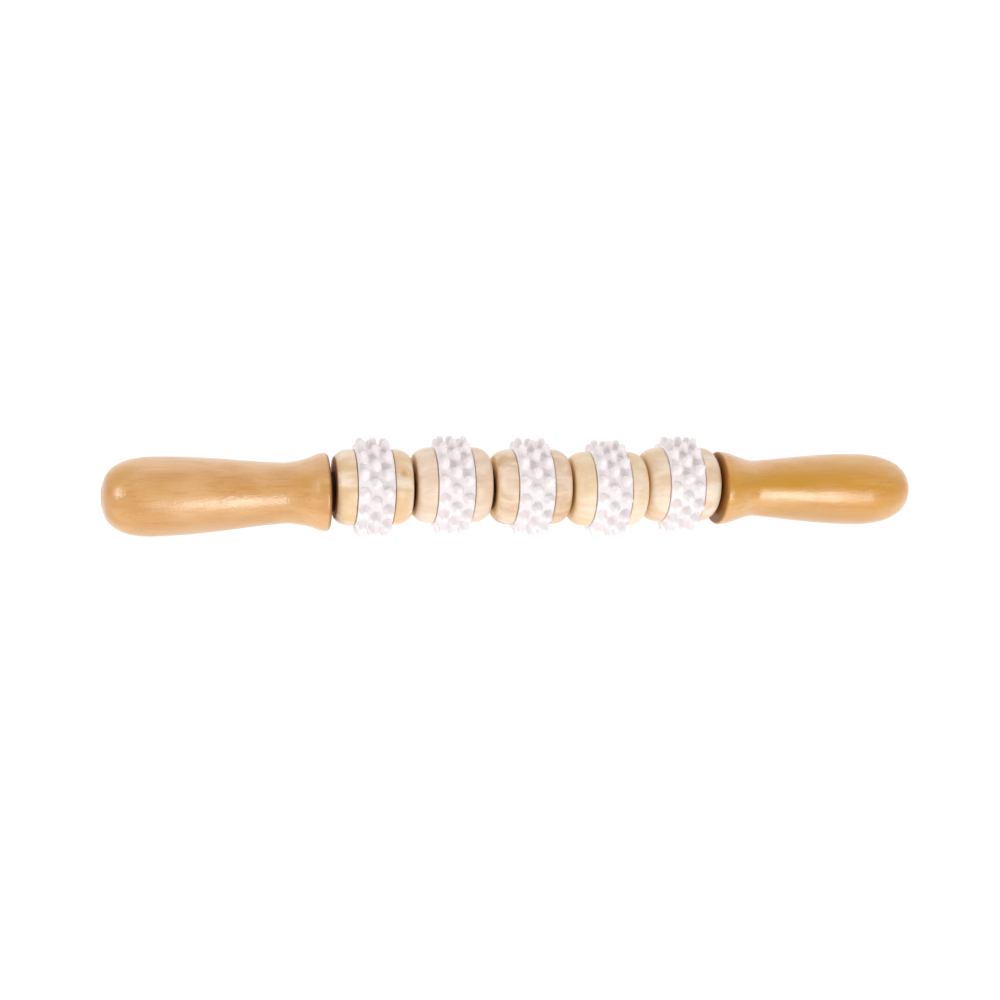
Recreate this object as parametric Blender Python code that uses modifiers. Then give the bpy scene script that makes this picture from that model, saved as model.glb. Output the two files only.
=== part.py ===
"""Wooden roller massager, held by two handles and rolled over the back or the legs.

Five turned wooden rollers spin freely on one steel axle between two turned wooden handles.
Each roller carries a stretchy white band with three staggered rows of massage knobs.

Units are metres. The axle runs along X and +Z is up. The object is modelled as it lies on a
table: the rollers stand on their knobs, and the axle and handles hang in the rollers' loose
bores. The origin is midway between the handle ends, on the rollers' centre height.
"""

import math

import bmesh
import bpy
from mathutils import Matrix

# ---------------------------------------------------------------- driving dimensions
OVERALL_LENGTH = 0.422
GAP = 0.0003                    # space left between touching pieces

ROLLER_COUNT = 5
ROLLER_PITCH = 0.0402
ROLLER_WIDTH = 0.0380
ROLLER_RADIUS = 0.0191
ROLLER_FACE_RADIUS = 0.0152     # flat side face, inside the rounded shoulder
SHOULDER_LENGTH = 0.0080
SHOULDER_START_DEG = 20         # the shoulder meets the side face at an edge
STACK_CENTRE = 0.0014           # middle of the row of rollers
SPACER_THICKNESS = 0.0011       # between two rollers

BAND_WIDTH = 0.0182
BAND_RADIUS = 0.0198            # a little proud of the wood
BAND_THICKNESS = 0.0027
BAND_CHAMFER = 0.0005
BAND_SIDE_GAP = 0.0005          # groove is this much wider on each side

KNOBS_PER_ROW = 14
KNOB_ROW_SPACING = 0.0060
KNOB_TIP_HEIGHT = 0.0251        # from the roller's centre line
KNOB_BASE_RADIUS = 0.0027
KNOB_TIP_RADIUS = 0.0013
KNOB_ROOT = 0.0008              # how deep a knob is sunk in its band

AXLE_RADIUS = 0.0035
AXLE_GRIP = 0.042               # length held in each handle
BORE_START = 0.003              # the drill enters from this far outside the inner face
CAP_ALLOWANCE = 0.00015         # wood faced off the handle's end
AXLE_CHAMFER = 0.0006
AXLE_DROP = 0.0019              # the axle's middle hangs this far below the rollers' centres
AXLE_TILT_DEG = 0.2             # its left end hangs lower
BORE_CLEARANCE = 0.0030         # loose drilled bore around the axle

SPACER_RADIUS = 0.0100
END_SPACER_THICKNESS = 0.0008   # beside the two outer rollers

HANDLE_LIP_LENGTH = 0.0030      # the lip's rounding, along the handle and across it
HANDLE_LIP_DEPTH = 0.0021
HANDLE_CAP_RADIUS = 0.0040      # flat faced off on each handle's end
HANDLE_DROOP_DEG = 1.3          # both are drilled a little askew, and droop from the axle

# The handles are turned by hand, so each has its own waist and belly. Distances run outwards
# from the handle's inner face.
LEFT_HANDLE = {
    "side": -1, "rim_x": -0.1008, "lip_radius": 0.01985,
    "flare_radius": 0.02145, "flare_fullness": 0.0, "neck_at": 0.0224, "neck_radius": 0.01515,
    "rise_power": 1.4, "belly_at": 0.0842, "belly_radius": 0.0195, "end_fullness": 2.6,
}
RIGHT_HANDLE = {
    "side": 1, "rim_x": 0.1022, "lip_radius": 0.0193,
    "flare_radius": 0.0194, "flare_fullness": 2.0, "neck_at": 0.0215, "neck_radius": 0.01455,
    "rise_power": 1.25, "belly_at": 0.0775, "belly_radius": 0.01875, "end_fullness": 2.5,
}

# Where each roller has come to rest: the angle of a middle-row knob above the front, and how
# far the roller has slid along the loose axle and settled backwards on it.
ROLLER_TURNS_DEG = (44.4, 32.3, 34.0, 37.6, 47.4)
ROLLER_SLIDES = (-0.00015, -0.00005, 0.00045, 0.00015, -0.00025)
ROLLER_SHIFTS = (0.0005, 0.0019, 0.0001, -0.0019, 0.0013)

TURNED_SIDES = 32
ROLLER_SIDES = 28
SPACER_SIDES = 24
KNOB_SIDES = 6

# ---------------------------------------------------------------- worked-out dimensions
BORE_RADIUS = AXLE_RADIUS + BORE_CLEARANCE
GROOVE_HALF_WIDTH = BAND_WIDTH / 2 + BAND_SIDE_GAP
GROOVE_RADIUS = BAND_RADIUS - BAND_THICKNESS - GAP
ROLLER_CENTRES = [STACK_CENTRE + (index - (ROLLER_COUNT - 1) / 2) * ROLLER_PITCH + slide
                  for index, slide in enumerate(ROLLER_SLIDES)]
HANDLE_DROOP = math.radians(HANDLE_DROOP_DEG)

MERGE_DISTANCE = 0.00001
ALONG_PLUS_X = (0, math.pi / 2, 0)


# ---------------------------------------------------------------- scene helpers
def clear_scene():
    for obj in list(bpy.data.objects):
        bpy.data.objects.remove(obj, do_unlink=True)


def new_collection(name):
    collection = bpy.data.collections.new(name)
    bpy.context.scene.collection.children.link(collection)
    return collection


def make_material(name, color, roughness, metallic=0.0):
    material = bpy.data.materials.new(name)
    material.use_nodes = True
    shader = material.node_tree.nodes["Principled BSDF"]
    shader.inputs["Base Color"].default_value = (*color, 1.0)
    shader.inputs["Roughness"].default_value = roughness
    shader.inputs["Metallic"].default_value = metallic
    return material


def add_object(name, mesh, collection, material):
    obj = bpy.data.objects.new(name, mesh)
    if not mesh.materials:
        mesh.materials.append(material)
    collection.objects.link(obj)
    return obj


def add_empty(name, collection, location, rotation=(0, 0, 0)):
    empty = bpy.data.objects.new(name, None)
    empty.location = location
    empty.rotation_euler = rotation
    collection.objects.link(empty)
    return empty


# ---------------------------------------------------------------- turned shapes
def profile_mesh(name, points, closed):
    """Edges through (radius, height) points, which run down the outer side."""
    mesh = bpy.data.meshes.new(name)
    vertices = [(radius, 0, height) for radius, height in points]
    edges = [(i, i + 1) for i in range(len(points) - 1)]
    if closed:
        edges.append((len(points) - 1, 0))
    mesh.from_pydata(vertices, edges, [])
    return mesh


def turn_on_lathe(obj, sides):
    screw = obj.modifiers.new("Turned", "SCREW")
    screw.steps = sides
    screw.render_steps = sides
    screw.use_merge_vertices = True
    screw.merge_threshold = MERGE_DISTANCE
    screw.use_smooth_shade = True


def both_ends(half_profile):
    """A symmetric profile from its upper half."""
    lower_half = [(radius, -height) for radius, height in reversed(half_profile)]
    return half_profile + lower_half


def roller_profile():
    half_width = ROLLER_WIDTH / 2
    drop = ROLLER_RADIUS - ROLLER_FACE_RADIUS
    crown_height = half_width - SHOULDER_LENGTH
    shoulder_steps = 4
    start = math.radians(SHOULDER_START_DEG)
    shoulder = []
    for i in range(shoulder_steps + 1):
        angle = start + (math.pi / 2 - start) * i / shoulder_steps
        rise = (math.sin(angle) - math.sin(start)) / (1 - math.sin(start))
        height = crown_height + SHOULDER_LENGTH * math.cos(angle) / math.cos(start)
        shoulder.append((ROLLER_FACE_RADIUS + drop * rise, height))
    groove = [(ROLLER_RADIUS, GROOVE_HALF_WIDTH), (GROOVE_RADIUS, GROOVE_HALF_WIDTH)]
    return both_ends([(BORE_RADIUS, half_width)] + shoulder + groove)


def band_profile():
    inner = BAND_RADIUS - BAND_THICKNESS
    half_width = BAND_WIDTH / 2
    return both_ends([
        (inner, half_width),
        (BAND_RADIUS - BAND_CHAMFER, half_width),
        (BAND_RADIUS, half_width - BAND_CHAMFER),
    ])


def spacer_profile(thickness):
    return both_ends([(AXLE_RADIUS + GAP, thickness / 2), (SPACER_RADIUS, thickness / 2)])


def handle_length(shape):
    """From the inner face to the end cap, so that the drooping cap's edge ends the object."""
    reach = OVERALL_LENGTH / 2 - abs(shape["rim_x"])
    return (reach - HANDLE_CAP_RADIUS * math.sin(HANDLE_DROOP)) / math.cos(HANDLE_DROOP)


def handle_radius(distance, shape):
    """The handle's radius at a distance from its inner face: flare, waist, belly, round end."""
    if distance <= shape["neck_at"]:
        along = distance / shape["neck_at"]
        fall = (1 - along) ** 2 * (1 + shape["flare_fullness"] * along)
        return shape["neck_radius"] + (shape["flare_radius"] - shape["neck_radius"]) * fall
    if distance <= shape["belly_at"]:
        along = (distance - shape["neck_at"]) / (shape["belly_at"] - shape["neck_at"])
        rise = math.sin(math.pi / 2 * along) ** shape["rise_power"]
        return shape["neck_radius"] + (shape["belly_radius"] - shape["neck_radius"]) * rise
    along = min((distance - shape["belly_at"]) / (handle_length(shape) - shape["belly_at"]), 1)
    power = shape["end_fullness"]
    return shape["belly_radius"] * (1 - along ** power) ** (1 / power)


def handle_profile(shape):
    """From beyond the middle of the round end down to the middle of the inner face."""
    neck_at = shape["neck_at"]
    belly_at = shape["belly_at"]
    length = handle_length(shape)
    end_length = length - belly_at
    distances = [belly_at + end_length * part for part in (0.98, 0.93, 0.84, 0.70, 0.50, 0.25)]
    distances += [neck_at + (belly_at - neck_at) * part for part in (1.0, 0.75, 0.5, 0.3, 0.14)]
    distances += [neck_at * part for part in (1.0, 0.84, 0.68, 0.52, 0.36, 0.22)]

    outline = [(0, length + CAP_ALLOWANCE), (0.85 * HANDLE_CAP_RADIUS, length + CAP_ALLOWANCE)]
    outline += [(handle_radius(distance, shape), distance) for distance in distances]
    lip_centre = shape["lip_radius"] - HANDLE_LIP_DEPTH
    for degrees in (60, 38, 17, 0):
        angle = math.radians(degrees)
        radius = lip_centre + HANDLE_LIP_DEPTH * math.sin(angle)
        outline.append((radius, HANDLE_LIP_LENGTH * (1 - math.cos(angle))))
    return outline + [(0, 0)]


# ---------------------------------------------------------------- the pieces
def add_round_bar(name, radius, start, end, line, frame, collection):
    """A cylinder between two places on its frame's X or Z line."""
    bpy.ops.mesh.primitive_cylinder_add(
        vertices=SPACER_SIDES, radius=radius, depth=abs(end - start))
    bar = bpy.context.object
    bar.name = name
    for other in list(bar.users_collection):
        other.objects.unlink(bar)
    collection.objects.link(bar)
    bar.parent = frame
    middle = (start + end) / 2
    if line == "X":
        bar.location = (middle, 0, 0)
        bar.rotation_euler = ALONG_PLUS_X
    else:
        bar.location = (0, 0, middle)
    return bar


def cut_away(obj, label, cutter):
    cutter.hide_render = True
    cutter.display_type = "WIRE"
    cut = obj.modifiers.new(label, "BOOLEAN")
    cut.operation = "DIFFERENCE"
    cut.solver = "EXACT"
    cut.object = cutter


def make_handle(name, shape, frame, collection, guides, material):
    """Turned about its own Z axis, drilled along the axle, and faced off at the end."""
    side, rim_x = shape["side"], shape["rim_x"]
    mesh = profile_mesh(name, handle_profile(shape), closed=False)
    handle = add_object(name, mesh, collection, material)
    handle.parent = frame
    handle.location = (rim_x, 0, 0)
    handle.rotation_euler = (0, side * (math.pi / 2 + HANDLE_DROOP), 0)
    turn_on_lathe(handle, TURNED_SIDES)

    bore = add_round_bar(f"{name}_bore", AXLE_RADIUS + GAP, rim_x - side * BORE_START,
                         rim_x + side * (AXLE_GRIP + GAP), "X", frame, guides)
    cut_away(handle, "Bore", bore)
    length = handle_length(shape)
    facing = add_round_bar(f"{name}_facing", 2 * HANDLE_CAP_RADIUS, length,
                           length + HANDLE_CAP_RADIUS, "Z", handle, guides)
    cut_away(handle, "Facing", facing)


def make_axle(frame, collection, material):
    axle = add_round_bar("axle_rod", AXLE_RADIUS, LEFT_HANDLE["rim_x"] - AXLE_GRIP,
                         RIGHT_HANDLE["rim_x"] + AXLE_GRIP, "X", frame, collection)
    axle.data.materials.append(material)
    axle.data.shade_smooth()
    axle.data.set_sharp_from_angle(angle=math.radians(35))
    bevel = axle.modifiers.new("Chamfer", "BEVEL")
    bevel.width = AXLE_CHAMFER
    bevel.segments = 1
    bevel.angle_limit = math.radians(60)


def spacer_places():
    """X of each spacer's middle, and its thickness: one beside every roller face."""
    beside = ROLLER_WIDTH / 2 + GAP + END_SPACER_THICKNESS / 2
    places = [(ROLLER_CENTRES[0] - beside, END_SPACER_THICKNESS)]
    for left, right in zip(ROLLER_CENTRES, ROLLER_CENTRES[1:]):
        places.append(((left + right) / 2, SPACER_THICKNESS))
    places.append((ROLLER_CENTRES[-1] + beside, END_SPACER_THICKNESS))
    return places


def make_spacers(frame, collection, material):
    for index, (x, thickness) in enumerate(spacer_places(), start=1):
        name = f"spacer_{index}"
        mesh = profile_mesh(name, spacer_profile(thickness), closed=True)
        spacer = add_object(name, mesh, collection, material)
        spacer.parent = frame
        spacer.location = (x, 0, 0)
        spacer.rotation_euler = ALONG_PLUS_X
        turn_on_lathe(spacer, SPACER_SIDES)


def knob_cluster_mesh():
    """All the knobs of one band, as blunt cones that stand out from the Z axis."""
    root_height = BAND_RADIUS - KNOB_ROOT
    length = KNOB_TIP_HEIGHT - root_height
    pitch = 2 * math.pi / KNOBS_PER_ROW
    outwards = Matrix.Rotation(math.pi / 2, 4, "Y")
    place = Matrix.Translation((root_height + length / 2, 0, 0))
    bm = bmesh.new()
    for row in (-1, 0, 1):
        stagger = 0 if row == 0 else pitch / 2
        along = Matrix.Translation((0, 0, row * KNOB_ROW_SPACING))
        for index in range(KNOBS_PER_ROW):
            around = Matrix.Rotation(index * pitch + stagger, 4, "Z")
            bmesh.ops.create_cone(
                bm, cap_ends=True, segments=KNOB_SIDES, radius1=KNOB_BASE_RADIUS,
                radius2=KNOB_TIP_RADIUS, depth=length, matrix=along @ around @ place @ outwards)
    mesh = bpy.data.meshes.new("knob_cluster")
    bm.to_mesh(mesh)
    bm.free()
    return mesh


def knobbed_band_mesh(collection, guides):
    """One band with its knobs joined on, around the Z axis."""
    base = add_object("band_base", profile_mesh("band_base", band_profile(), closed=True),
                      collection, None)
    turn_on_lathe(base, ROLLER_SIDES)
    knobs = bpy.data.objects.new("knob_cluster", knob_cluster_mesh())
    knobs.hide_render = True
    knobs.display_type = "WIRE"
    guides.objects.link(knobs)
    join = base.modifiers.new("Knobs", "BOOLEAN")
    join.operation = "UNION"
    join.solver = "EXACT"
    join.object = knobs

    depsgraph = bpy.context.evaluated_depsgraph_get()
    mesh = bpy.data.meshes.new_from_object(base.evaluated_get(depsgraph))
    mesh.name = "knobbed_band"
    mesh.materials.clear()
    bpy.data.objects.remove(base, do_unlink=True)
    mesh.shade_smooth()
    mesh.set_sharp_from_angle(angle=math.radians(35))
    return mesh


def make_rollers(collection, guides, wood, rubber):
    """Each roller and its band ride on an empty that lies on the roller's centre line."""
    roller_mesh = profile_mesh("roller", roller_profile(), closed=True)
    band_mesh = knobbed_band_mesh(collection, guides)
    for index, x in enumerate(ROLLER_CENTRES):
        turn = -math.radians(90 + ROLLER_TURNS_DEG[index])
        hub = add_empty(f"roller_{index + 1}_centre", collection,
                        (x, ROLLER_SHIFTS[index], 0), (turn, 0, 0))
        roller = add_object(f"roller_{index + 1}", roller_mesh, collection, wood)
        turn_on_lathe(roller, ROLLER_SIDES)
        band = add_object(f"knobbed_band_{index + 1}", band_mesh, collection, rubber)
        for piece in (roller, band):
            piece.parent = hub
            piece.rotation_euler = ALONG_PLUS_X


def build():
    clear_scene()
    parts = new_collection("wooden_roller_massager")
    guides = new_collection("guides")

    varnished_wood = make_material("varnished_handle_wood", (0.62, 0.33, 0.11), 0.35)
    pale_wood = make_material("pale_roller_wood", (0.66, 0.45, 0.25), 0.55)
    white_rubber = make_material("white_knobbed_rubber", (0.88, 0.85, 0.87), 0.5)
    steel = make_material("steel_axle", (0.60, 0.60, 0.62), 0.3, metallic=1.0)
    nylon = make_material("black_nylon_spacer", (0.05, 0.045, 0.04), 0.5)

    tilt = -math.radians(AXLE_TILT_DEG)
    frame = add_empty("axle_line", parts, (0, 0, -AXLE_DROP), (0, tilt, 0))
    make_axle(frame, parts, steel)
    make_handle("left_handle", LEFT_HANDLE, frame, parts, guides, varnished_wood)
    make_handle("right_handle", RIGHT_HANDLE, frame, parts, guides, varnished_wood)
    make_spacers(frame, parts, nylon)
    make_rollers(parts, guides, pale_wood, white_rubber)


build()
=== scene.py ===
"""Looks of the wooden roller massager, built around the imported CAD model.

Every turned piece is spun again from its CAD outline at a fine resolution, the rubber bands get
rounded moulded knobs, and each surface has a procedural material. Units are metres, in the CAD
model's frame: the axle runs along X, the front faces -Y, and +Z is up.
"""

import math
import random

import bmesh
import bpy
from mathutils import Matrix, Vector, noise


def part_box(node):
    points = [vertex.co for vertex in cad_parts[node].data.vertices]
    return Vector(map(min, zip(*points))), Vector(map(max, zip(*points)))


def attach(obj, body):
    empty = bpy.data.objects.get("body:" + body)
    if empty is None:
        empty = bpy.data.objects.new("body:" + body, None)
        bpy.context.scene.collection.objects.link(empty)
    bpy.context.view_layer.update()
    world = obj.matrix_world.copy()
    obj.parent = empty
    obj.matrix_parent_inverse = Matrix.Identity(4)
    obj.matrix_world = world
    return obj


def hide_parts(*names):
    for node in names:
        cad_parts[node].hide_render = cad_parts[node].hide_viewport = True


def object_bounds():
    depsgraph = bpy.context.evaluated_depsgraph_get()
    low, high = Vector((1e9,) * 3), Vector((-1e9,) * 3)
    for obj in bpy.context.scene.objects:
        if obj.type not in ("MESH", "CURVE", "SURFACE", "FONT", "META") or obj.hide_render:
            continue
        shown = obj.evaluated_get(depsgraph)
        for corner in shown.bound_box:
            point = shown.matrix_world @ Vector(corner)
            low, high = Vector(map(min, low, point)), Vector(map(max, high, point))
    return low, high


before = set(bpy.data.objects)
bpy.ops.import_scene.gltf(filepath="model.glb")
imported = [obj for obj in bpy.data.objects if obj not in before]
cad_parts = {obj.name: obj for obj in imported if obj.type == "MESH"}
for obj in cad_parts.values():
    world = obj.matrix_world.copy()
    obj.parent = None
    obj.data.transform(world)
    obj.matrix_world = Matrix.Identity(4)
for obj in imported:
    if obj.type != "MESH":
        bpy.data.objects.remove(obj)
cad_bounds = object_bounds()

# ---------------------------------------------------------------- sizes the frame doesn't give
MM = 0.001
ROLLER_COUNT = 5
KNOBS_PER_ROW = 14
DROOP = {"left": math.radians(1.5), "right": math.radians(1.1)}     # of each handle, from level
AXLE_TILT = math.radians(0.2)
FIT_GAP = 0.3 * MM              # round the rod, in the handles' bores and in the spacers

# how finely the round pieces are cut
HANDLE_SIDES = 128
ROLLER_SIDES = 112
BAND_SIDES = 168
KNOB_SIDES = 22
ROD_SIDES = 64
OUTLINE_STEP = 0.8 * MM         # spacing of the stations along a smooth outline
SAME_STATION = 0.08 * MM        # corners of an outline nearer than this count as one

# The camera looks at the stick's left end more than its right, and down on it from the front.
CAMERA_DISTANCE = 0.87
FOCAL_LENGTH = 61.4
SLANT = math.radians(13.0)      # between the axle and the picture plane
LOOK_DOWN = math.radians(40.0)
ROLL = math.radians(0.5)
AIM_OFFSET = (0.0130, 0.0067)   # the stick's centre, right of and above the picture's middle

FLOOR_SIZE = 60                 # so wide that no corner of it shows in low views

# The studio is white all round, except towards these directions: each is darker or brighter by
# the last number, over a soft-edged cone with an outer and an inner half angle in degrees.
STUDIO_STRENGTH = 1.0
STUDIO_PATCHES = (
    ((0.15, -0.62, 0.77), 70, 25, -0.75),       # above the front
    ((0.35, 0.45, 0.82), 72, 30, 0.30),         # above the back
    ((-1.0, 0.0, 0.05), 55, 20, -0.62),         # the left end
    ((1.0, 0.0, 0.05), 46, 20, -0.40),          # the right end
)

# The colours of the woods. A handle's are deep, main and light; a roller's are main and warm.
HANDLE_TONES = {
    "left": ((0.62, 0.28, 0.05), (0.71, 0.365, 0.10), (0.77, 0.43, 0.17)),
    "right": ((0.65, 0.28, 0.010), (0.70, 0.345, 0.045), (0.75, 0.40, 0.13)),
}
ROLLER_TONES = (
    ((0.92, 0.77, 0.60), (0.79, 0.53, 0.28)),
    ((0.90, 0.73, 0.59), (0.80, 0.60, 0.44)),
    ((0.87, 0.69, 0.53), (0.68, 0.42, 0.23)),
    ((0.90, 0.74, 0.56), (0.82, 0.60, 0.36)),
    ((0.92, 0.77, 0.61), (0.79, 0.57, 0.38)),
)
# Tints of the marks: golden and dark patches in the wood, and a tan painted shade for the handles'
# undersides.
GOLDEN, UNDERSIDE_SHADE, DARK = (0.60, 0.28, 0.004), (0.54, 0.27, 0.08), (0.30, 0.12, 0.03)
KNOT = (0.55, 0.30, 0.10)
# Roller side faces: pale end grain, and on the first roller a dark end grain that is also painted shade
# beside the handle.
DARK_END_GRAIN_AND_SHADE, PALE_END_GRAIN = (0.42, 0.18, 0.04), (0.82, 0.60, 0.34)
# The handles' inner faces: dark end grain that is also painted shade of the narrow gap.
HANDLE_END_GRAIN_AND_SHADE = (0.24, 0.08, 0.004)

# Soft marks on the handles, patches in the wood and a painted shade along each underside: tint,
# strength, distance from the handle's round end, radius and angle above the front where the mark is
# centred, and its half sizes along each axis.
HANDLE_MARKS = {
    "left": (
        (UNDERSIDE_SHADE, 0.5, 56 * MM, 18 * MM, -20, (60 * MM, 14 * MM, 14 * MM)),             # painted shade along the underside
        (GOLDEN, 0.7, 11 * MM, 15 * MM, 78, (11 * MM, 9 * MM, 9 * MM)),             # over the round end
        (GOLDEN, 0.6, 98 * MM, 17 * MM, 64, (14 * MM, 6 * MM, 6 * MM))),            # on the flare
    "right": (
        (UNDERSIDE_SHADE, 0.75, 56 * MM, 17 * MM, -20, (56 * MM, 13 * MM, 13 * MM)),            # painted shade along the underside
        (GOLDEN, 0.8, 66 * MM, 16 * MM, 58, (48 * MM, 8.5 * MM, 8.5 * MM)),         # a stripe on top
        (DARK, 0.75, 19.5 * MM, 17.5 * MM, 108, (5.5 * MM, 1.1 * MM, 0.9 * MM))),   # a dark streak
}


# ---------------------------------------------------------------- outlines read from the frame
def axis_of(node):
    """Centre line of a turned node: its (y, z)."""
    low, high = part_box(node)
    return (low.y + high.y) / 2, (low.z + high.z) / 2


def span_of(node):
    """Middle and half width of a node along X."""
    low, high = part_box(node)
    return (low.x + high.x) / 2, (high.x - low.x) / 2


def corners_of(node):
    """All corners of a node's CAD mesh."""
    return [vertex.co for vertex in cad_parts[node].data.vertices]


def inner_face(side, sign):
    """A handle's outward direction, and how far along it the handle starts."""
    along = Matrix.Rotation(sign * DROOP[side], 3, "Y") @ Vector((sign, 0, 0))
    return along, min(along.dot(corner) for corner in corners_of(f"{side}_handle"))


def on_surface(node, x, radius, degrees):
    """The point at x and radius on a turned node, at an angle above its front."""
    axis = axis_of(node)
    angle = math.radians(degrees)
    return (x, axis[0] - radius * math.cos(angle), axis[1] + radius * math.sin(angle))


def axle_line():
    """Turns a line along X through the origin into the axle's own line."""
    low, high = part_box("axle_rod")
    middle = (low + high) / 2
    tilt = Matrix.Rotation(-AXLE_TILT, 4, "Y")
    return Matrix.Translation(middle) @ tilt @ Matrix.Translation((-middle.x, 0, 0))


def stations_of(corners, axis):
    """Sorted, distinct (x, radius) pairs of a turned piece's corners."""
    found = set()
    for corner in corners:
        radius = math.hypot(corner.y - axis[0], corner.z - axis[1])
        found.add((round(corner.x, 5), round(radius, 5)))
    merged = []
    for x, radius in sorted(found):
        if not any(math.hypot(x - a, radius - b) < SAME_STATION for a, b in merged):
            merged.append((x, radius))
    return merged


def smooth_through(points, step=OUTLINE_STEP):
    """A Catmull-Rom curve through (x, radius) points, sampled about every step."""
    ends_first = [points[0]] + points + [points[-1]]
    curve = []
    for p0, p1, p2, p3 in zip(ends_first, ends_first[1:], ends_first[2:], ends_first[3:]):
        count = max(1, round(math.dist(p1, p2) / step))
        for i in range(count):
            t = i / count
            curve.append(tuple(
                0.5 * (2 * b + (c - a) * t + (2 * a - 5 * b + 4 * c - d) * t ** 2
                       + (3 * b - a - 3 * c + d) * t ** 3)
                for a, b, c, d in zip(p0, p1, p2, p3)))
    curve.append(points[-1])
    return curve


def turned_mesh(name, outline, axis, sides, closed):
    """Spins an (x, radius) outline round the line along X through axis."""
    bm = bmesh.new()
    row = [bm.verts.new((x, 0, radius)) for x, radius in outline]
    edges = [bm.edges.new(pair) for pair in zip(row, row[1:])]
    if closed:
        edges.append(bm.edges.new((row[-1], row[0])))
    bmesh.ops.spin(bm, geom=row + edges, cent=(0, 0, 0), axis=(1, 0, 0),
                   angle=2 * math.pi, steps=sides, use_merge=True)
    bmesh.ops.remove_doubles(bm, verts=bm.verts, dist=0.002 * MM)
    bmesh.ops.recalc_face_normals(bm, faces=bm.faces)
    bmesh.ops.translate(bm, verts=bm.verts, vec=(0, axis[0], axis[1]))
    mesh = bpy.data.meshes.new(name)
    bm.to_mesh(mesh)
    bm.free()
    return mesh


def combined(name, mesh, other, operation):
    """One mesh joined to or cut by another."""
    pair = [bpy.data.objects.new(label, data) for label, data in (("base", mesh), ("tool", other))]
    for obj in pair:
        bpy.context.scene.collection.objects.link(obj)
    boolean = pair[0].modifiers.new("Combine", "BOOLEAN")
    boolean.operation = operation
    boolean.solver = "MANIFOLD"
    boolean.object = pair[1]
    depsgraph = bpy.context.evaluated_depsgraph_get()
    result = bpy.data.meshes.new_from_object(pair[0].evaluated_get(depsgraph))
    result.name = name
    for obj in pair:
        bpy.data.objects.remove(obj, do_unlink=True)
    return result


def finish_piece(name, mesh, material, body, node, sharp=40):
    """Makes the object that replaces a node: smooth, except at edges over sharp degrees."""
    mesh.shade_smooth()
    mesh.set_sharp_from_angle(angle=math.radians(sharp))
    mesh.materials.clear()
    mesh.materials.append(material)
    piece = bpy.data.objects.new(name, mesh)
    bpy.context.scene.collection.objects.link(piece)
    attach(piece, body)
    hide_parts(node)
    return piece


# ---------------------------------------------------------------- node building
class Shading:
    """A material's node tree, with short calls for the nodes used here."""

    def __init__(self, name, **fixed):
        self.material = bpy.data.materials.new(name)
        self.material.use_nodes = True
        self.tree = self.material.node_tree
        self.shader = self.tree.nodes["Principled BSDF"]
        self.place = self.add("ShaderNodeTexCoord").outputs["Object"]
        for socket, value in fixed.items():
            self.shader.inputs[socket.replace("_", " ")].default_value = value

    def add(self, kind, **settings):
        node = self.tree.nodes.new(kind)
        for key, value in settings.items():
            setattr(node, key, value)
        return node

    def put(self, socket, value):
        if isinstance(value, bpy.types.NodeSocket):
            self.tree.links.new(value, socket)
        else:
            socket.default_value = value

    def math(self, operation, a, b=0.0, clamp=False):
        node = self.add("ShaderNodeMath", operation=operation, use_clamp=clamp)
        self.put(node.inputs[0], a)
        self.put(node.inputs[1], b)
        return node.outputs[0]

    def vector(self, operation, a, b):
        node = self.add("ShaderNodeVectorMath", operation=operation)
        self.put(node.inputs[0], a)
        self.put(node.inputs[1], b)
        return node.outputs["Value" if operation in ("LENGTH", "DOT_PRODUCT") else "Vector"]

    def stretched(self, sizes, shift=(0, 0, 0)):
        """Coordinates in which one unit is sizes metres along each axis."""
        moved = self.vector("SUBTRACT", self.place, shift)
        return self.vector("DIVIDE", moved, sizes)

    def noise(self, sizes, shift=(0, 0, 0), detail=3.0, roughness=0.5, distortion=0.0):
        node = self.add("ShaderNodeTexNoise")
        self.put(node.inputs["Vector"], self.stretched(sizes, shift))
        node.inputs["Scale"].default_value = 1.0
        node.inputs["Detail"].default_value = detail
        node.inputs["Roughness"].default_value = roughness
        node.inputs["Distortion"].default_value = distortion
        return node.outputs["Fac"]

    def between(self, value, low, high, to_low=0.0, to_high=1.0):
        """A smooth step of value from low to high."""
        node = self.add("ShaderNodeMapRange", interpolation_type="SMOOTHSTEP")
        self.put(node.inputs["Value"], value)
        for socket, number in zip(("From Min", "From Max", "To Min", "To Max"),
                                  (low, high, to_low, to_high)):
            node.inputs[socket].default_value = number
        return node.outputs["Result"]

    def mix(self, amount, a, b, blend="MIX"):
        node = self.add("ShaderNodeMix", data_type="RGBA", blend_type=blend)
        self.put(node.inputs["Factor"], amount)
        for socket, value in ((node.inputs[6], a), (node.inputs[7], b)):
            self.put(socket, (*value, 1.0) if isinstance(value, tuple) else value)
        return node.outputs[2]

    def tinted(self, color, mask, amount, tint):
        """The colour turned towards a tint by amount where mask is 1."""
        return self.mix(self.math("MULTIPLY", mask, amount), color, tint)

    def layered(self, color, pattern, low, high, amount, tint):
        """The colour turned towards a tint as pattern rises from low to high."""
        return self.mix(self.between(pattern, low, high, 0.0, amount), color, tint)

    def bump(self, height, distance, strength=1.0, below=None):
        node = self.add("ShaderNodeBump")
        node.inputs["Strength"].default_value = strength
        node.inputs["Distance"].default_value = distance
        self.put(node.inputs["Height"], height)
        if below is not None:
            self.put(node.inputs["Normal"], below)
        return node.outputs["Normal"]

    def spot(self, centre, sizes):
        """1 at the centre of an ellipsoid, fading softly to 0 at its edge."""
        distance = self.vector("LENGTH", self.stretched(sizes, centre), (0, 0, 0))
        return self.between(distance, 1.0, 0.1)

    def done(self, color, roughness, normal):
        self.put(self.shader.inputs["Base Color"], color)
        self.put(self.shader.inputs["Roughness"], roughness)
        self.put(self.shader.inputs["Normal"], normal)
        return self.material


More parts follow.
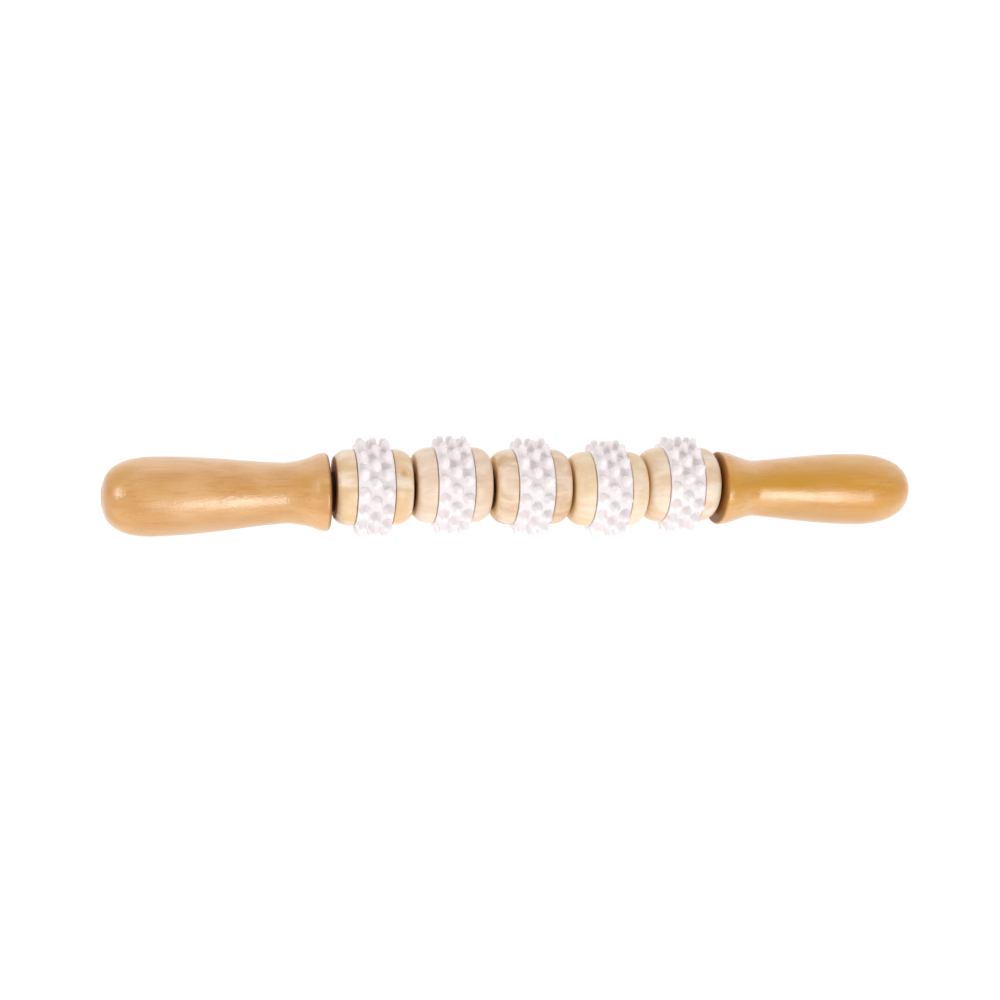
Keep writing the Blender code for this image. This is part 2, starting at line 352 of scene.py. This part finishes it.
# ---------------------------------------------------------------- materials
def handle_wood(side, sign, seed):
    """Clear varnish over golden wood with its grain along X; the bare inner face is dark end grain, and
    it and the lip's inner edge carry painted shade of the gap.
    """
    deep, main, light = HANDLE_TONES[side]
    s = Shading(f"varnished_wood_{side}", Coat_Roughness=0.23, Coat_IOR=1.66, Specular_IOR_Level=0.40)
    shift = (seed * 0.31, seed * 0.17, seed * 0.23)

    board = s.noise((0.11, 0.014, 0.014), shift, detail=2.0, distortion=0.4)
    color = s.mix(s.between(board, 0.38, 0.62), deep, main)
    clouds = s.noise((0.05, 0.020, 0.020), (seed, 1, 2), detail=2.0)
    color = s.layered(color, clouds, 0.45, 0.70, 1.0, light)
    stains = s.noise((0.020, 0.007, 0.007), (2, seed, 1), detail=3.0)
    color = s.layered(color, stains, 0.52, 0.70, 0.55, deep)

    streaks = s.noise((0.035, 0.0016, 0.0016), shift, detail=4.0, roughness=0.6)
    color = s.layered(color, streaks, 0.50, 0.72, 0.42, (0.47, 0.21, 0.04))
    fibres = s.noise((0.010, 0.00035, 0.00035), shift, detail=3.0, roughness=0.65)
    color = s.layered(color, fibres, 0.45, 0.75, 0.22, (0.90, 0.62, 0.36))
    pores = s.noise((0.0035, 0.00028, 0.00028), (seed, 3, 5), detail=1.0)
    pore_mask = s.between(pores, 0.66, 0.74)
    color = s.tinted(color, pore_mask, 0.30, (0.33, 0.14, 0.035))

    low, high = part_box(f"{side}_handle")
    round_end = high.x if sign > 0 else low.x
    for tint, amount, from_end, radius, degrees, sizes in HANDLE_MARKS[side]:
        centre = on_surface(f"{side}_handle", round_end - sign * from_end, radius, degrees)
        color = s.tinted(color, s.spot(centre, sizes), amount, tint)

    along, start = inner_face(side, sign)
    depth = s.math("SUBTRACT", s.vector("DOT_PRODUCT", s.place, along), start)
    # Painted shade over end grain: the inner face and the lip's first 2 mm are darkened and left bare of
    # varnish.
    end_grain_and_shade = s.between(depth, 2.0 * MM, 0.2 * MM)
    color = s.tinted(color, end_grain_and_shade, 0.95, HANDLE_END_GRAIN_AND_SHADE)
    s.put(s.shader.inputs["Coat Weight"], s.math("SUBTRACT", 1.0, end_grain_and_shade))

    roughness = s.between(s.noise((0.012, 0.006, 0.006), shift), 0.3, 0.7, 0.36, 0.48)
    skin = s.noise((0.0012, 0.0009, 0.0009), shift, detail=2.0)
    normal = s.bump(skin, 0.00005, 0.7)
    normal = s.bump(pore_mask, 0.00004, -0.35, below=normal)
    s.put(s.shader.inputs["Coat Normal"], s.bump(skin, 0.00020, 0.9))
    return s.done(color, roughness, normal)


def roller_wood(index, seed):
    """Pale sealed wood: fine grain along X, darker end grain on the flat side faces, which on the first
    roller is painted shade as well.
    """
    main, warm = ROLLER_TONES[index - 1]
    s = Shading(f"pale_wood_{index}", Coat_Roughness=0.28, Specular_IOR_Level=0.35)
    shift = (seed * 0.37, seed * 0.13, seed * 0.29)

    board = s.noise((0.045, 0.010, 0.010), shift, detail=2.0, distortion=0.6)
    color = s.mix(s.between(board, 0.38, 0.66), main, warm)
    blots = s.noise((0.010, 0.005, 0.005), shift, detail=3.0, distortion=0.3)
    color = s.layered(color, blots, 0.50, 0.74, 0.6, warm)
    lines = s.noise((0.030, 0.0011, 0.0011), shift, detail=4.0, roughness=0.6)
    color = s.layered(color, lines, 0.50, 0.74, 0.28, (0.62, 0.40, 0.21))
    fibres = s.noise((0.007, 0.0003, 0.0003), shift, detail=3.0, roughness=0.65)
    color = s.layered(color, fibres, 0.42, 0.75, 0.20, (0.95, 0.80, 0.62))
    pores = s.noise((0.0028, 0.00024, 0.00024), (seed, 7, 4), detail=1.0)
    color = s.tinted(color, s.between(pores, 0.67, 0.75), 0.25, (0.42, 0.24, 0.10))

    middle, half_width = span_of(f"roller_{index}")
    if index == 1:      # the first roller has a small knot to the right of its band
        knot = on_surface("roller_1", middle + 13.5 * MM, 18.7 * MM, 60)
        color = s.tinted(color, s.spot(knot, (3.0 * MM, 3.4 * MM, 3.4 * MM)), 0.55, KNOT)

    sideways = s.add("ShaderNodeSeparateXYZ")
    s.put(sideways.inputs[0], s.place)
    from_middle = s.math("ABSOLUTE", s.math("SUBTRACT", sideways.outputs["X"], middle))
    # The flat side faces take the end grain colour; the first roller's is deep enough to be painted
    # shade beside the handle.
    end_grain_and_shade = s.between(from_middle, half_width - 0.6 * MM, half_width - 0.05 * MM)
    color = s.tinted(color, end_grain_and_shade, 0.85, DARK_END_GRAIN_AND_SHADE if index == 1 else PALE_END_GRAIN)
    s.put(s.shader.inputs["Coat Weight"], s.between(end_grain_and_shade, 0.0, 1.0, 0.4, 0.0))

    roughness = s.between(s.noise((0.010, 0.004, 0.004), shift), 0.3, 0.7, 0.46, 0.60)
    normal = s.bump(s.noise((0.0016, 0.0007, 0.0007), shift, detail=2.0), 0.00003, 0.5)
    normal = s.bump(lines, 0.00005, 0.25, below=normal)
    return s.done(color, roughness, normal)


def band_rubber(name, seed):
    """Matte white moulded rubber with a faint rosy tone and handling marks."""
    s = Shading(name, IOR=1.45, Subsurface_Weight=0.42, Subsurface_Scale=0.0024,
                Subsurface_Radius=(1.0, 0.75, 0.7), Specular_IOR_Level=0.4)
    tone = s.noise((0.009, 0.009, 0.009), (seed, 0, 0), detail=3.0)
    color = s.mix(s.between(tone, 0.35, 0.65), (0.86, 0.805, 0.82), (0.91, 0.855, 0.86))
    dust = s.noise((0.0012, 0.0012, 0.0012), (0, seed, 0), detail=4.0, roughness=0.7)
    color = s.layered(color, dust, 0.58, 0.80, 0.15, (0.78, 0.70, 0.70))
    roughness = s.between(tone, 0.3, 0.7, 0.46, 0.60)
    grain = s.noise((0.0005, 0.0005, 0.0005), (seed, 2, 1), detail=3.0, roughness=0.6)
    return s.done(color, roughness, s.bump(grain, 0.00003, 0.6))


def drawn_steel(name):
    """Bright steel rod with fine lines round it and a trace of oil."""
    s = Shading(name, Metallic=1.0)
    stain = s.noise((0.010, 0.003, 0.003), detail=3.0)
    color = s.mix(s.between(stain, 0.4, 0.7), (0.62, 0.61, 0.60), (0.46, 0.44, 0.42))
    lines = s.noise((0.00012, 0.02, 0.02), detail=2.0)
    roughness = s.between(lines, 0.3, 0.7, 0.22, 0.38)
    return s.done(color, roughness, s.bump(lines, 0.00001, 0.5))


def nylon(name):
    """Black nylon, browned by wood dust, with turning marks on its faces."""
    s = Shading(name, Specular_IOR_Level=0.12)
    tone = s.noise((0.004, 0.004, 0.004), detail=2.0)
    color = s.mix(s.between(tone, 0.4, 0.7), (0.060, 0.024, 0.006), (0.090, 0.038, 0.010))
    marks = s.noise((0.0004, 0.0012, 0.0012), detail=3.0)
    roughness = s.between(marks, 0.3, 0.7, 0.42, 0.58)
    return s.done(color, roughness, s.bump(marks, 0.00002, 0.5))


# ---------------------------------------------------------------- handles
def wobble(mesh, axis, amount, seed):
    """The slight unevenness of hand turning: soft ridges along, nearly round across."""
    ridge, roundness, core = 7 * MM, 30 * MM, 5 * MM
    for vertex in mesh.vertices:
        across = Vector((0, vertex.co.y - axis[0], vertex.co.z - axis[1]))
        if across.length < core:
            continue
        place = Vector((vertex.co.x / ridge, across.y / roundness, across.z / roundness + seed))
        vertex.co += across.normalized() * noise.noise(place) * amount


def make_handle(side, sign, material):
    """Spun again about its own axis, levelled while it is worked on, and drilled for the axle."""
    node = f"{side}_handle"
    level = Matrix.Rotation(-sign * DROOP[side], 4, "Y")
    corners = [level @ corner for corner in corners_of(node)]
    axis = [(min(c[i] for c in corners) + max(c[i] for c in corners)) / 2 for i in (1, 2)]
    # stations from the inner face outwards, as (distance from the middle of the stick, radius)
    stations = sorted((abs(x), radius) for x, radius in stations_of(corners, axis))
    end = stations[-1][0]
    cap_radius = max(radius for x, radius in stations if x > end - 0.01 * MM)
    # the bore's corners, all nearer to the axis than the skin, are left out
    skin = [(x, radius) for x, radius in stations if radius > 7 * MM] + [(end, cap_radius)]
    outline = [(skin[0][0], 0.0)] + smooth_through(skin) + [(end, 0.0)]
    mesh = turned_mesh("turned", [(sign * x, r) for x, r in outline], axis, HANDLE_SIDES, closed=False)
    wobble(mesh, axis, 0.05 * MM, seed=sign * 3)
    mesh.transform(level.inverted())

    low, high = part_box("axle_rod")
    bore_end = (high.x if sign > 0 else low.x) + sign * FIT_GAP
    bore_radius = (high.y - low.y) / 2 + FIT_GAP
    bore = turned_mesh("bore", [(0, 0), (0, bore_radius), (bore_end, bore_radius), (bore_end, 0)],
                       (0, 0), ROD_SIDES, closed=False)
    bore.transform(axle_line())
    mesh = combined(f"{node}_turned", mesh, bore, "DIFFERENCE")
    finish_piece(f"{node}_turned", mesh, material, "handles_and_axle", node)


# ---------------------------------------------------------------- rollers
def make_roller(index, material):
    """Spun again with a smooth crown, from its bore to its groove on both sides of its middle."""
    node = f"roller_{index}"
    axis = axis_of(node)
    middle, _ = span_of(node)
    # corners of the outline as (distance from the middle, radius), the same on both sides
    half = sorted({(round(abs(x - middle), 5), radius)
                   for x, radius in stations_of(corners_of(node), axis)})
    bore = half[-1][0], min(radius for _, radius in half)
    groove = min((p for p in half if p[1] > bore[1] + 1 * MM), key=lambda p: p[0])
    shoulder = sorted(p for p in half if p not in (bore, groove))
    shoulder = [p for p in shoulder if p[1] > groove[1] or p[0] > groove[0] + 1 * MM]
    edge = shoulder[0]
    crown = smooth_through(shoulder[1:])
    # the edges of the groove and of the bore are slightly eased
    ease = 0.25 * MM
    side = [groove, (edge[0], edge[1] - ease), (edge[0] + 0.3 * ease, edge[1] - 0.3 * ease),
            (edge[0] + ease, edge[1])] + crown + [(bore[0], bore[1] + ease), (bore[0] - ease, bore[1])]
    outline = [(middle - x, radius) for x, radius in reversed(side)]
    outline += [(middle + x, radius) for x, radius in side]
    mesh = turned_mesh(f"{node}_turned", outline, axis, ROLLER_SIDES, closed=True)
    wobble(mesh, axis, 0.035 * MM, seed=index)
    finish_piece(f"{node}_turned", mesh, material, f"roller_unit_{index}", node, sharp=50)


# ---------------------------------------------------------------- knobbed bands
def knob_outline(height):
    """(height, radius) of one knob above its band: spread foot, slim neck, round tip."""
    foot, neck, shoulder = 3.0 * MM, 2.6 * MM, 1.8 * MM
    foot_height, tip_height, sunk = 0.7 * MM, 1.6 * MM, 0.12 * MM
    points = []
    for i in range(5):
        angle = math.pi / 2 * i / 4
        points.append((foot_height * math.sin(angle) - sunk,
                       neck + (foot - neck) * (1 - math.sin(angle)) ** 1.5))
    neck_top = height - tip_height
    for part in (0.35, 0.7, 1.0):
        points.append((foot_height + (neck_top - foot_height) * part, neck + (shoulder - neck) * part))
    for i in range(1, 6):
        angle = math.pi / 2 * i / 6
        points.append((neck_top + tip_height * math.sin(angle), shoulder * math.cos(angle) ** 0.8))
    return points


def add_knob(bm, outline, sides, root, matrix):
    """A closed knob whose foot is sunk by root; it stands along its local Z."""
    rows = [[bm.verts.new(matrix @ Vector((
        radius * math.cos(2 * math.pi * i / sides), radius * math.sin(2 * math.pi * i / sides), height)))
        for i in range(sides)] for height, radius in [(-root, outline[0][1])] + outline]
    for lower, upper in zip(rows, rows[1:]):
        for i in range(sides):
            j = (i + 1) % sides
            bm.faces.new((lower[i], lower[j], upper[j], upper[i]))
    bm.faces.new(list(reversed(rows[0])))
    bm.faces.new(rows[-1])


def band_measures(node, axis):
    """Base radius, tip radius, row spacing and the angle of a middle-row knob, from the CAD band."""
    middle, half = span_of(node)
    corners = [(c.x - middle, math.hypot(c.y - axis[0], c.z - axis[1]),
                math.atan2(c.z - axis[1], c.y - axis[0])) for c in corners_of(node)]
    tip = max(radius for _, radius, _ in corners)
    tips = [c for c in corners if c[1] > tip - 0.5 * MM]
    base = max(radius for x, radius, _ in corners if abs(x) > half - 0.8 * MM)
    spacing = max(abs(x) for x, _, _ in tips)
    row_tips = [angle for x, _, angle in tips if abs(x) < spacing / 3]
    turn = math.atan2(sum(math.sin(KNOBS_PER_ROW * a) for a in row_tips),
                      sum(math.cos(KNOBS_PER_ROW * a) for a in row_tips)) / KNOBS_PER_ROW
    rows = sorted(abs(x) for x, _, _ in tips if abs(x) > spacing / 2)
    return base, tip, (rows[0] + rows[-1]) / 2, turn


def make_band(index, material):
    """A sleeve with rounded lips and three rows of knobs, joined into one skin."""
    node = f"knobbed_band_{index}"
    axis = axis_of(f"roller_{index}")
    middle, half = span_of(node)
    base, tip, row_spacing, turn = band_measures(node, axis)
    inner = min(radius for _, radius in stations_of(corners_of(node), axis))
    lip = 0.7 * MM

    steps = 22
    flat = [(middle - half + lip + (2 * half - 2 * lip) * i / steps, base) for i in range(steps + 1)]
    arc = [(half - lip + lip * math.sin(a), base - lip + lip * math.cos(a))
           for a in (math.pi / 8 * i for i in range(1, 5))]
    outline = [(middle - x, radius) for x, radius in reversed(arc)] + flat
    outline += [(middle + x, radius) for x, radius in arc]
    outline += [(middle + half, inner), (middle - half, inner)]
    sleeve = turned_mesh("sleeve", outline, axis, BAND_SIDES, closed=True)

    # three rows of knobs, each turned half a pitch from the next; they lean and vary a little
    lean_spread, height_spread, root = 0.045, 0.25 * MM, 0.6 * MM
    draw = random.Random(40 + index)
    pitch = 2 * math.pi / KNOBS_PER_ROW
    bm = bmesh.new()
    for row in (-1, 0, 1):
        for k in range(KNOBS_PER_ROW):
            angle = turn + (k + (0.5 if row else 0)) * pitch
            outwards = Vector((0, math.cos(angle), math.sin(angle)))
            around = Vector((0, -math.sin(angle), math.cos(angle)))
            lean = Vector((draw.gauss(0, lean_spread), 0, 0)) + around * draw.gauss(0, lean_spread)
            up = (outwards + lean).normalized()
            side = around.cross(up).normalized()
            foot = Vector((middle + row * row_spacing, axis[0], axis[1])) + outwards * base
            height = tip - base - draw.uniform(0.0, height_spread)
            matrix = Matrix.Translation(foot) @ Matrix((side, up.cross(side), up)).transposed().to_4x4()
            add_knob(bm, knob_outline(height), KNOB_SIDES, root, matrix)
    bmesh.ops.recalc_face_normals(bm, faces=bm.faces)
    knobs = bpy.data.meshes.new("knobs")
    bm.to_mesh(knobs)
    bm.free()
    mesh = combined(f"{node}_moulded", sleeve, knobs, "UNION")
    finish_piece(f"{node}_moulded", mesh, material, f"roller_unit_{index}", node, sharp=75)


# ---------------------------------------------------------------- rod and spacers
def make_axle(material):
    """The rod, chamfered at both ends."""
    low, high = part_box("axle_rod")
    radius, chamfer = (high.y - low.y) / 2, 0.6 * MM
    outline = [(low.x, 0.0), (low.x, radius - chamfer), (low.x + chamfer, radius)]
    outline += [(high.x - chamfer, radius), (high.x, radius - chamfer), (high.x, 0.0)]
    mesh = turned_mesh("axle_rod_drawn", outline, (0, 0), ROD_SIDES, closed=False)
    mesh.transform(axle_line())
    finish_piece("axle_rod_drawn", mesh, material, "handles_and_axle", "axle_rod")


def make_spacer(index, material):
    """A washer on the rod; its box is a little wider than it is, as it leans with the rod."""
    node = f"spacer_{index}"
    low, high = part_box(node)
    outer = (high.y - low.y) / 2
    rod_low, rod_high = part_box("axle_rod")
    inner = (rod_high.y - rod_low.y) / 2 + FIT_GAP
    slant = outer * math.sin(AXLE_TILT)
    left, right = low.x + slant, high.x - slant
    ease = min(0.15 * MM, (right - left) / 4)
    outline = [(left, inner), (left, outer - ease), (left + ease, outer),
               (right - ease, outer), (right, outer - ease), (right, inner)]
    mesh = turned_mesh(f"{node}_washer", outline, (0, 0), ROD_SIDES, closed=True)
    mesh.transform(axle_line())
    finish_piece(f"{node}_washer", mesh, material, "handles_and_axle", node)


# ---------------------------------------------------------------- building the stick
def build_stick():
    make_handle("left", -1, handle_wood("left", -1, seed=1.0))
    make_handle("right", 1, handle_wood("right", 1, seed=2.0))
    for index in range(1, ROLLER_COUNT + 1):
        make_roller(index, roller_wood(index, seed=index * 1.7))
        make_band(index, band_rubber(f"white_rubber_{index}", seed=index * 2.3))
    make_axle(drawn_steel("steel_rod"))
    washer_nylon = nylon("nylon_washer")
    for index in range(1, ROLLER_COUNT + 2):
        make_spacer(index, washer_nylon)


# ---------------------------------------------------------------- floor, light and camera
def make_floor():
    """A white table lit through from below, so it stays white round the object."""
    bpy.ops.mesh.primitive_plane_add(size=FLOOR_SIZE, location=(0, 0, cad_bounds[0].z))
    floor = bpy.context.object
    floor.name = "floor"
    s = Shading("pale_floor", Specular_IOR_Level=0.2, Emission_Color=(1, 1, 1, 1),
                Emission_Strength=0.97)
    tone = s.noise((0.3, 0.3, 0.3), detail=2.0)
    color = s.mix(s.between(tone, 0.3, 0.7), (0.07, 0.07, 0.07), (0.09, 0.09, 0.09))
    floor.data.materials.append(s.done(color, 0.9, s.bump(tone, 0.0001, 0.1)))


def area_light(name, location, width, height, power):
    """A soft window that faces the stick."""
    data = bpy.data.lights.new(name, "AREA")
    data.shape = "RECTANGLE"
    data.size, data.size_y = width, height
    data.energy = power
    lamp = bpy.data.objects.new(name, data)
    bpy.context.scene.collection.objects.link(lamp)
    lamp.location = location
    lamp.rotation_euler = (-Vector(location)).to_track_quat("-Z", "Y").to_euler()


def make_world():
    """A white studio with soft darker and brighter patches, added up towards each direction."""
    world = bpy.data.worlds.new("studio")
    bpy.context.scene.world = world
    world.use_nodes = True
    tree = world.node_tree
    place = tree.nodes.new("ShaderNodeTexCoord")
    total = None
    for direction, wide, narrow, change in STUDIO_PATCHES:
        toward = tree.nodes.new("ShaderNodeVectorMath")
        toward.operation = "DOT_PRODUCT"
        toward.inputs[1].default_value = direction
        tree.links.new(place.outputs["Generated"], toward.inputs[0])
        level = tree.nodes.new("ShaderNodeMapRange")
        level.interpolation_type = "SMOOTHSTEP"
        for socket, number in (("From Min", math.cos(math.radians(wide))),
                               ("From Max", math.cos(math.radians(narrow))), ("To Max", change)):
            level.inputs[socket].default_value = number
        tree.links.new(toward.outputs["Value"], level.inputs["Value"])
        plus = tree.nodes.new("ShaderNodeMath")
        tree.links.new(level.outputs["Result"], plus.inputs[0])
        if total is None:
            plus.inputs[1].default_value = STUDIO_STRENGTH
        else:
            tree.links.new(total, plus.inputs[1])
        total = plus.outputs[0]
    background = tree.nodes["Background"]
    background.inputs["Color"].default_value = (1.0, 0.99, 0.98, 1)
    tree.links.new(total, background.inputs["Strength"])


def make_light():
    """The white room, and the two windows that the varnish mirrors."""
    make_world()
    area_light("front_window", (0.72, -2.4, 0.52), 1.05, 1.15, power=28)
    area_light("left_window", (-2.3, -0.75, 1.20), 0.90, 0.80, power=17)


def make_camera():
    """The photo's view: down from the front, with the left end nearer."""
    along = Vector((1, 0, 0))
    down_front = Vector((0, -math.cos(LOOK_DOWN), math.sin(LOOK_DOWN)))
    back = (-math.sin(SLANT) * along + math.cos(SLANT) * down_front).normalized()
    level = (along - along.dot(back) * back).normalized()
    right = Matrix.Rotation(-ROLL, 3, back) @ level
    up = back.cross(right)
    location = CAMERA_DISTANCE * back - AIM_OFFSET[0] * right - AIM_OFFSET[1] * up
    data = bpy.data.cameras.new("camera")
    data.lens = FOCAL_LENGTH
    data.sensor_width = 36
    data.clip_start, data.clip_end = 0.05, 20
    camera = bpy.data.objects.new("camera", data)
    bpy.context.scene.collection.objects.link(camera)
    camera.matrix_world = Matrix.Translation(location) @ Matrix((right, up, back)).transposed().to_4x4()
    bpy.context.scene.camera = camera
    bpy.context.scene.view_settings.view_transform = "Standard"


build_stick()
make_floor()
make_light()
make_camera()
